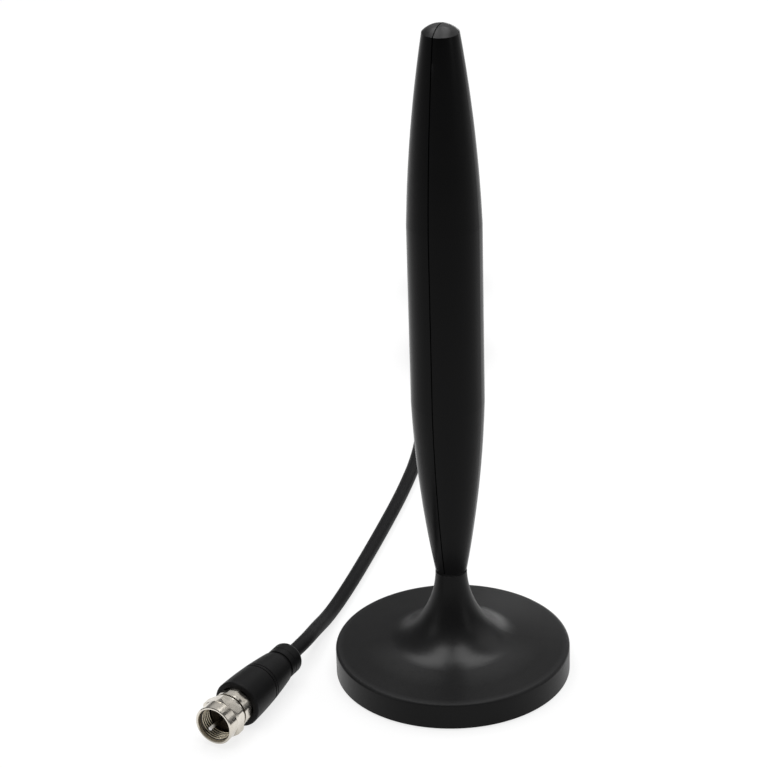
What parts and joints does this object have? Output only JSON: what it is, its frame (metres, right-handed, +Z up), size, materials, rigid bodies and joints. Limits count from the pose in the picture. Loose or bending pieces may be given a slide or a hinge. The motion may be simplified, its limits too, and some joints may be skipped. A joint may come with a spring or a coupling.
{
  "type": "indoor hdtv antenna",
  "caption": "Slim tapered indoor TV antenna wand on a round flared base, with a thin black coax lead ending in a moulded F plug with a spinning nickel nut.",
  "frame": {"origin": "middle of the foot pad's underside, on the table", "axes": "+Z up along the wand, -Y to the front, the lead leaves at +Y"},
  "size_m": [0.1002, 0.3053, 0.1871],
  "materials": {
    "wand_plastic": "semi-gloss moulded black",
    "base_plastic": "satin black with a fine moulded grain",
    "plate_plastic": "plain moulded black",
    "screw_steel": "zinc plated",
    "pad_foam": "dense black foam",
    "ballast_steel": "plain pressed steel",
    "board": "green printed circuit board with copper tracks",
    "lead_jacket": "satin black PVC",
    "boot_pvc": "matte black moulded PVC",
    "tie_strap": "black woven strap",
    "plug_nickel": "satin nickel plating",
    "insulator": "natural polyethylene",
    "pin_metal": "bright tinned pin"
  },
  "bodies": {
    "antenna": {"base_cover": "base_plastic", "base_plate": "plate_plastic", "base_screws": "screw_steel", "foot_pad": "pad_foam", "ballast_ring": "ballast_steel", "lead_grommet": "boot_pvc", "wand_left_shell": "wand_plastic", "wand_right_shell": "wand_plastic", "dipole_board": "board", "lead_through_base": "lead_jacket", "lead_base_run": "lead_jacket", "lead_plug_run": "lead_jacket", "lead_hank": "lead_jacket", "lead_tie": "tie_strap", "plug_boot": "boot_pvc", "plug_ferrule": "plug_nickel", "plug_post": "plug_nickel", "plug_insulator": "insulator", "plug_pin": "pin_metal"},
    "coupling_nut": {"coupling_nut": "plug_nickel"}
  },
  "joints": [
    {"name": "nut_spin", "type": "hinge", "parent": "antenna", "child": "coupling_nut", "pos_m": [-0.06163, -0.03477, 0.00665], "axis": [-0.4772, -0.8788, 0], "continuous": true}
  ]
}
